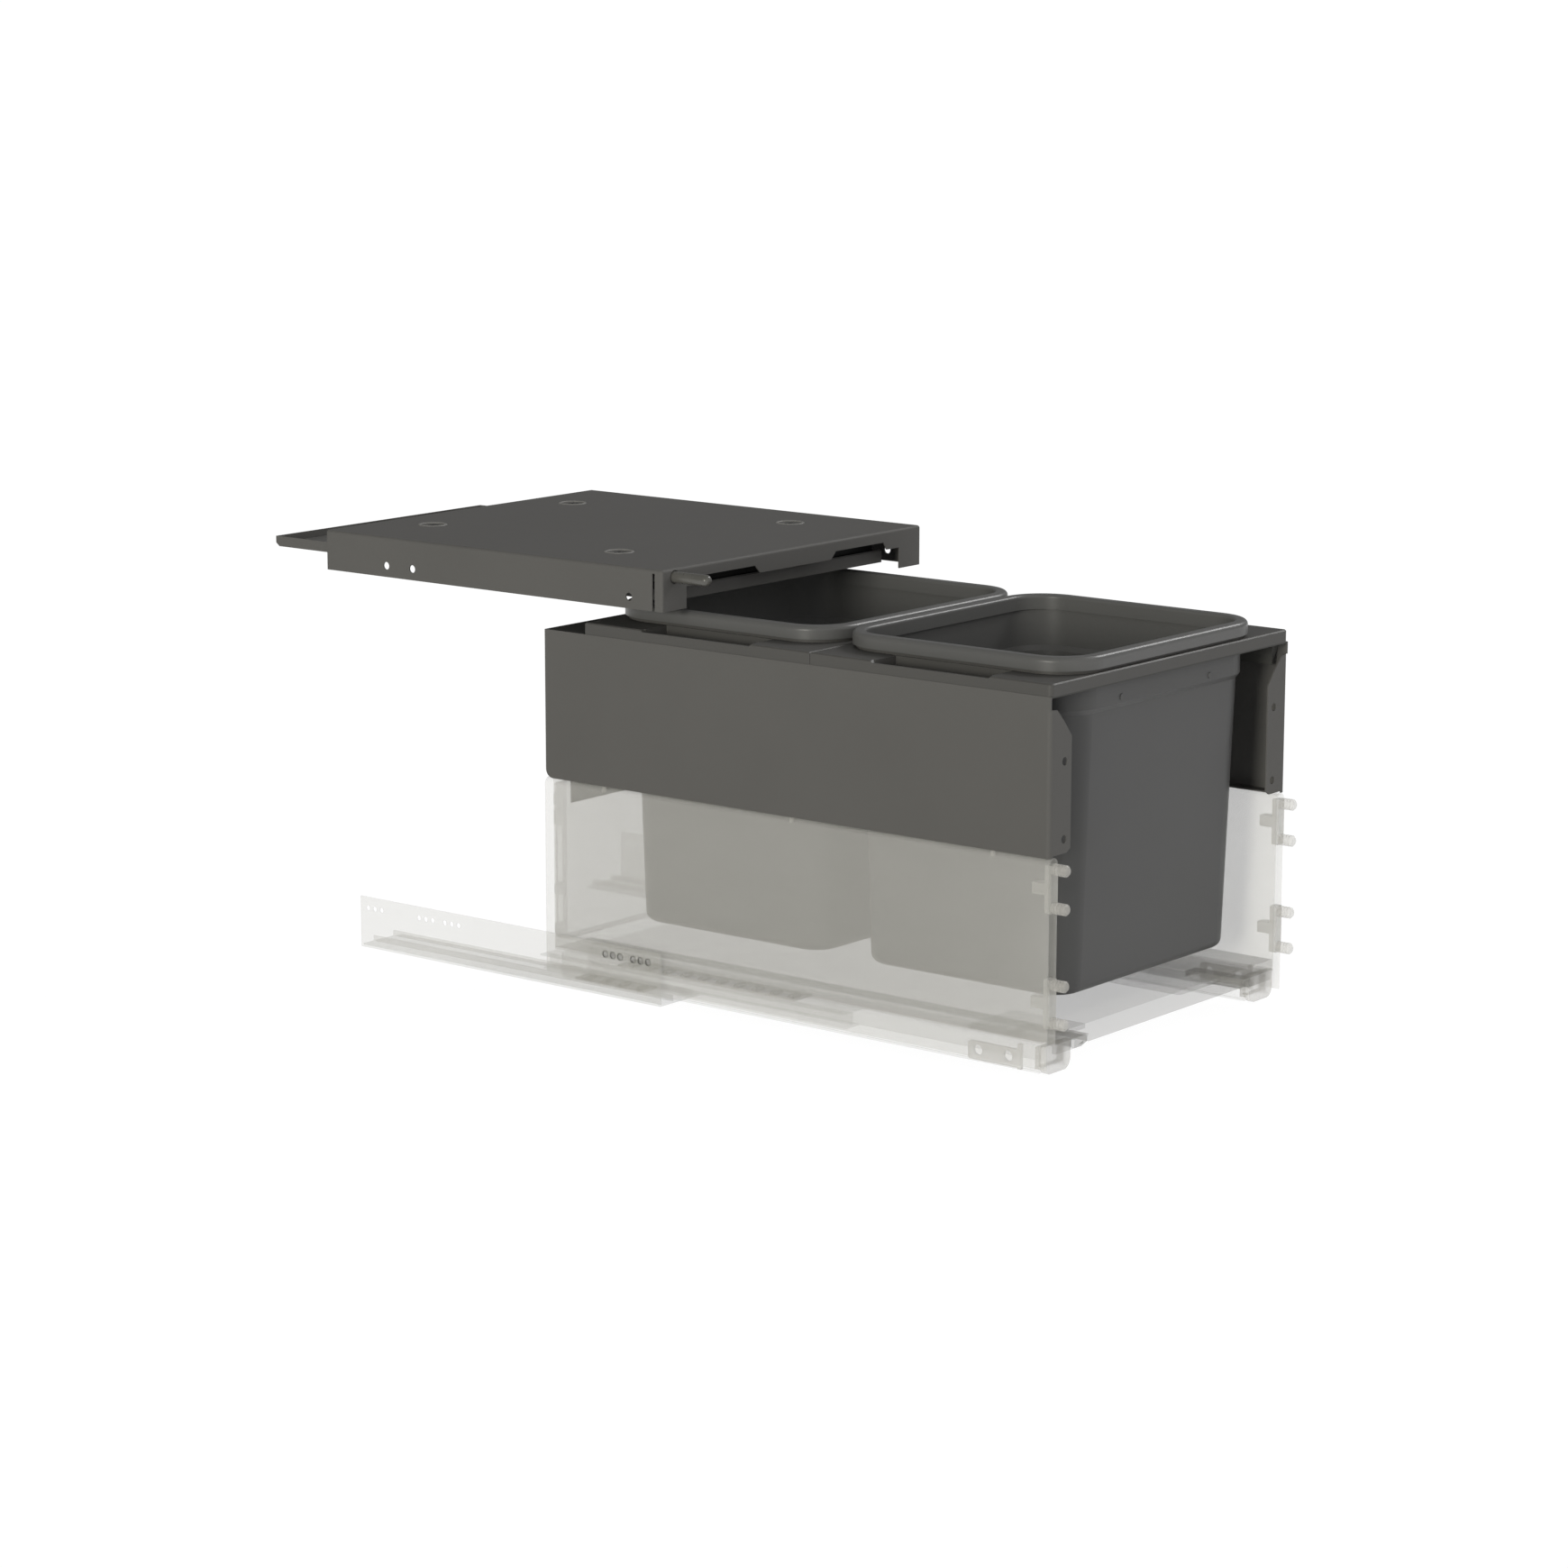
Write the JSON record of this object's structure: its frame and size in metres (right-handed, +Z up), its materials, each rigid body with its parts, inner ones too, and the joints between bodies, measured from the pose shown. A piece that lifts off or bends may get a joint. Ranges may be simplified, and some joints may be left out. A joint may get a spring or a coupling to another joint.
{
  "type": "pull out trash cabinet",
  "caption": "Pull out waste drawer: open bins hang in a folded frame on a drawer box with concealed runners, under a fixed lid with a sliding rear tray.",
  "frame": {"origin": "centre of the whole object's footprint, at the underside of the runners, with the drawer half open as in the picture", "axes": "X is the width, the drawer pulls out along -Y, Z is up"},
  "size_m": [0.368, 0.8836, 0.3842],
  "materials": {
    "lid_coat": "fine powder coat in anthracite grey",
    "frame_coat": "fine powder coat in anthracite grey",
    "frame_dark": "fine powder coat in dark anthracite",
    "carrier_plastic": "moulded plastic with a fine grain, anthracite",
    "bin_plastic": "moulded plastic, satin anthracite",
    "dark_plastic": "moulded plastic, dark grey",
    "damper_plastic": "moulded plastic, mid grey",
    "screw_dark": "black zinc",
    "rail_clear": "shown as a see-through pale grey sheet",
    "drawer_clear": "shown as a see-through pale grey sheet",
    "board_clear": "shown as a see-through pale grey board",
    "fitting_clear": "shown as a see-through grey fitting",
    "bracket_clear": "shown as a see-through grey plate"
  },
  "bodies": {
    "cabinet_fixed": {"lid_cover": "lid_coat", "lid_inner_frame": "dark_plastic", "lid_screws": "screw_dark", "damper_body": "dark_plastic", "cabinet_rail_left": "rail_clear", "cabinet_rail_right": "rail_clear"},
    "drawer": {"drawer_rail_left": "rail_clear", "drawer_rail_right": "rail_clear", "rail_end_cap_left": "fitting_clear", "rail_end_cap_right": "fitting_clear", "rail_latch_left": "fitting_clear", "rail_latch_right": "fitting_clear", "front_coupling_left": "bracket_clear", "front_coupling_right": "bracket_clear", "drawer_side_left": "drawer_clear", "drawer_side_right": "drawer_clear", "drawer_base": "board_clear", "drawer_back": "board_clear", "rear_bracket_left": "bracket_clear", "rear_bracket_right": "bracket_clear", "front_bracket_upper_left": "bracket_clear", "front_bracket_upper_right": "bracket_clear", "front_bracket_lower_left": "bracket_clear", "front_bracket_lower_right": "bracket_clear", "front_dowels_left": "fitting_clear", "front_dowels_right": "fitting_clear", "frame_side_left": "frame_coat", "frame_side_right": "frame_coat", "frame_top_plate": "frame_dark", "corner_clip_left": "dark_plastic", "corner_clip_right": "dark_plastic", "frame_rear_panel": "frame_dark", "carrier_front": "carrier_plastic", "carrier_rear": "carrier_plastic", "frame_screws": "screw_dark"},
    "lid_tray": {"lid_extension": "lid_coat"},
    "push_pin": {"damper_pin": "damper_plastic"},
    "mid_rails": {"intermediate_rail_left": "rail_clear", "intermediate_rail_right": "rail_clear"},
    "lower_cages": {"roller_cage_lower_left": "fitting_clear", "roller_cage_lower_right": "fitting_clear"},
    "upper_cages": {"roller_cage_upper_left": "fitting_clear", "roller_cage_upper_right": "fitting_clear"},
    "front_bin": {"bin_front": "bin_plastic"},
    "rear_bin": {"bin_rear": "bin_plastic"}
  },
  "joints": [
    {"name": "drawer_slide", "type": "slide", "parent": "cabinet_fixed", "child": "drawer", "axis": [0, -1, 0], "range_m": [-0.392, 0.135]},
    {"name": "mid_rails_slide", "type": "slide", "parent": "cabinet_fixed", "child": "mid_rails", "axis": [0, -1, 0], "range_m": [-0.196, 0.0675]},
    {"name": "lower_cages_slide", "type": "slide", "parent": "cabinet_fixed", "child": "lower_cages", "axis": [0, -1, 0], "range_m": [-0.098, 0.03375]},
    {"name": "upper_cages_slide", "type": "slide", "parent": "cabinet_fixed", "child": "upper_cages", "axis": [0, -1, 0], "range_m": [-0.294, 0.10125]},
    {"name": "front_bin_lift", "type": "slide", "parent": "drawer", "child": "front_bin", "axis": [0, 0, 1], "range_m": [0, 0.3]},
    {"name": "rear_bin_lift", "type": "slide", "parent": "drawer", "child": "rear_bin", "axis": [0, 0, 1], "range_m": [0, 0.003]},
    {"name": "push_pin_slide", "type": "slide", "parent": "cabinet_fixed", "child": "push_pin", "axis": [0, 1, 0], "range_m": [0, 0.02], "stiffness_N_per_m": 120, "springref_m": -0.01},
    {"name": "lid_tray_slide", "type": "slide", "parent": "cabinet_fixed", "child": "lid_tray", "axis": [0, 1, 0], "range_m": [-0.03, 0.03]}
  ],
  "couplings": [
    {"joint": "mid_rails_slide", "follows": "drawer_slide", "ratio": 0.5},
    {"joint": "lower_cages_slide", "follows": "drawer_slide", "ratio": 0.25},
    {"joint": "upper_cages_slide", "follows": "drawer_slide", "ratio": 0.75}
  ]
}
